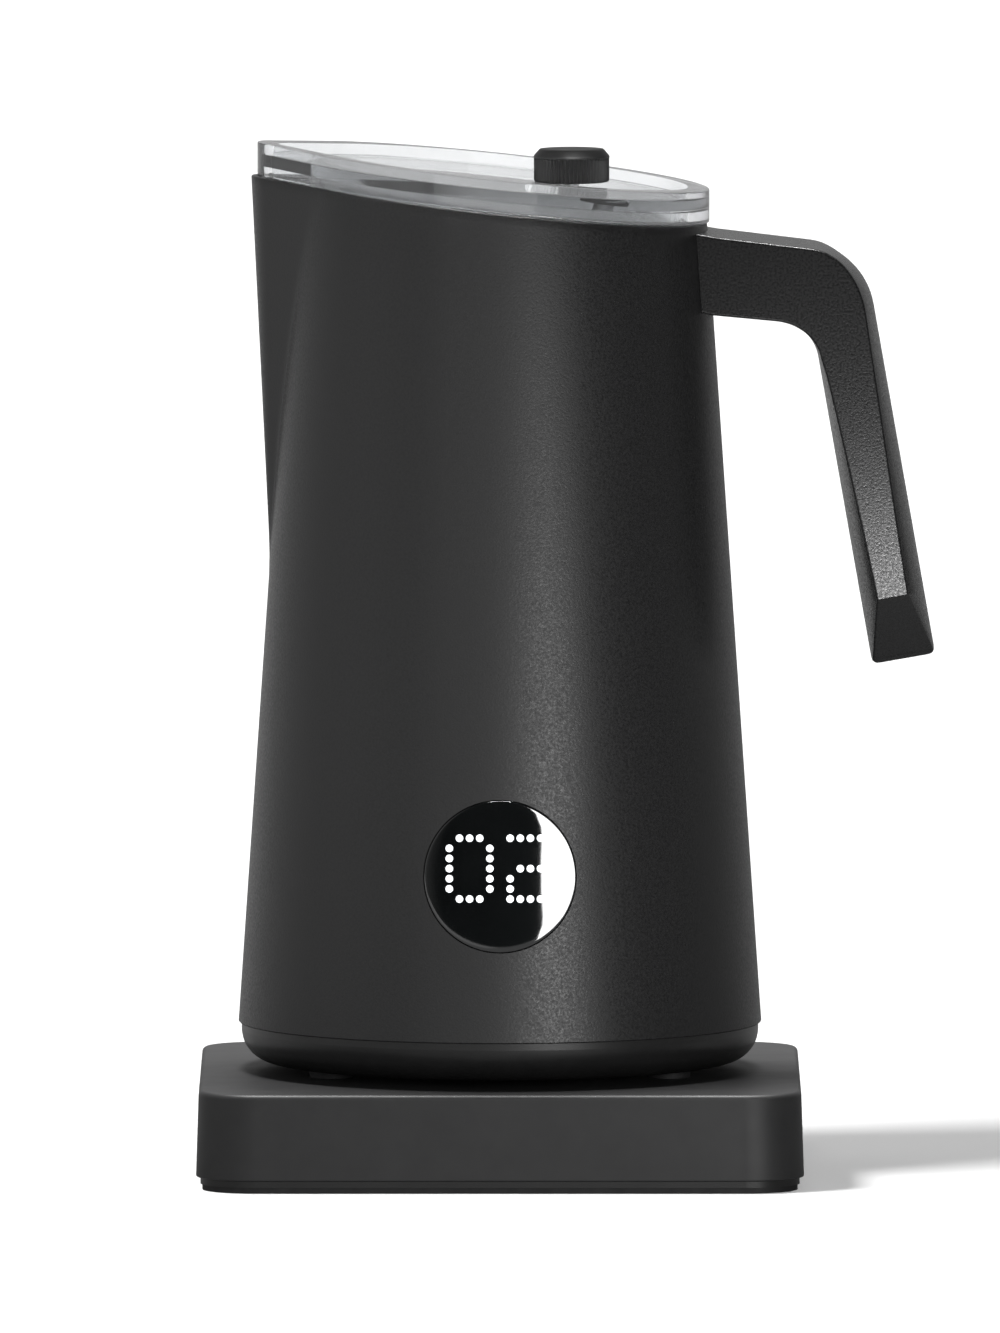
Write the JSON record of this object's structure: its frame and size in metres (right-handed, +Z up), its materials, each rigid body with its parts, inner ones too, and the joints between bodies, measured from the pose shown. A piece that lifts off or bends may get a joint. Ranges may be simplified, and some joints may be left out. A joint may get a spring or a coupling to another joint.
{
  "type": "milk frother",
  "caption": "Electric milk frother: heated jug with spout, side handle, clear lid and dot display, on a square power base, with a magnetic whisk.",
  "frame": {"origin": "on the table, under the jug's axis, in the middle of the base's rubber pad", "axes": "+Z up along the jug's axis, +X towards the handle (the spout points to -X), -Y towards the display, +Y towards the cord entry at the back"},
  "size_m": [0.1536, 0.1276, 0.2142],
  "materials": {
    "powder_coat": "charcoal powder coat with a fine grain, satin",
    "base_plastic": "smooth satin charcoal plastic",
    "black_plastic": "matt black plastic",
    "handle_plastic": "charcoal, fine grain, satin",
    "rubber": "matt black rubber",
    "silicone": "grey food-grade silicone",
    "steel": "plain steel",
    "bowl_steel": "brushed stainless steel with a graduated inside",
    "spring_wire": "bright stainless spring wire",
    "magnet": "nickel-plated magnet",
    "brass": "plated contact brass",
    "copper": "enamelled copper winding on laminations",
    "board": "green circuit board",
    "board_parts": "moulded electronic parts",
    "wire": "insulated wire and flat cable",
    "heater": "cast ring heater",
    "ceramic": "white ceramic fuse body",
    "display_glass": "glossy black",
    "dots": "white light",
    "bush": "white bearing plastic",
    "clear_lid": "clear grey-tinted, polished",
    "knob_black": "satin black"
  },
  "bodies": {
    "base": {"base_cover": "base_plastic", "base_plate": "black_plastic", "base_pad": "rubber", "base_screws": "steel", "base_connector": "black_plastic", "base_contacts": "brass", "power_board": "board", "power_board_parts": "board_parts", "power_wires": "wire", "cord_gland": "rubber"},
    "jug": {"jug_shell": "powder_coat", "bottom_cap": "black_plastic", "cap_screws": "steel", "jug_feet": "rubber", "jug_connector": "black_plastic", "connector_pins": "brass", "control_board": "board", "control_board_parts": "board_parts", "inner_frame": "black_plastic", "motor_can": "steel", "motor_stator": "copper", "motor_bearings": "steel", "motor_screws": "steel", "bowl": "bowl_steel", "bowl_pin": "steel", "bowl_gasket": "silicone", "heater_ring": "heater", "temperature_sensor": "steel", "thermal_fuse": "ceramic", "display_housing": "black_plastic", "display_gasket": "silicone", "display_board": "board", "display_leds": "dots", "button_switch": "black_plastic", "display_cable": "wire", "handle": "handle_plastic", "handle_screws": "steel"},
    "display_button": {"display_lens": "display_glass", "display_dots": "dots", "button_frame": "black_plastic"},
    "drive": {"motor_rotor": "steel", "drive_disc": "black_plastic", "drive_magnets": "magnet"},
    "whisk": {"whisk_hub": "black_plastic", "whisk_bush": "bush", "whisk_magnets": "magnet", "whisk_coil": "spring_wire"},
    "lid": {"lid": "clear_lid", "lid_seal": "silicone", "lid_knob": "knob_black", "knob_washer": "rubber", "knob_screw": "steel"}
  },
  "joints": [
    {"name": "jug_lift", "type": "slide", "parent": "base", "child": "jug", "axis": [0, 0, 1], "range_m": [0, 0.06]},
    {"name": "lid_lift", "type": "slide", "parent": "jug", "child": "lid", "axis": [0, 0, 1], "range_m": [0, 0.03]},
    {"name": "button_press", "type": "slide", "parent": "jug", "child": "display_button", "axis": [0, 0.9977, -0.0681], "range_m": [0, 0.0008], "stiffness_N_per_m": 400},
    {"name": "whisk_drive_spin", "type": "hinge", "parent": "jug", "child": "drive", "pos_m": [0, 0, 0.075], "axis": [0, 0, 1], "continuous": true},
    {"name": "whisk_lift", "type": "slide", "parent": "drive", "child": "whisk", "axis": [0, 0, 1], "range_m": [0, 0.09]}
  ]
}
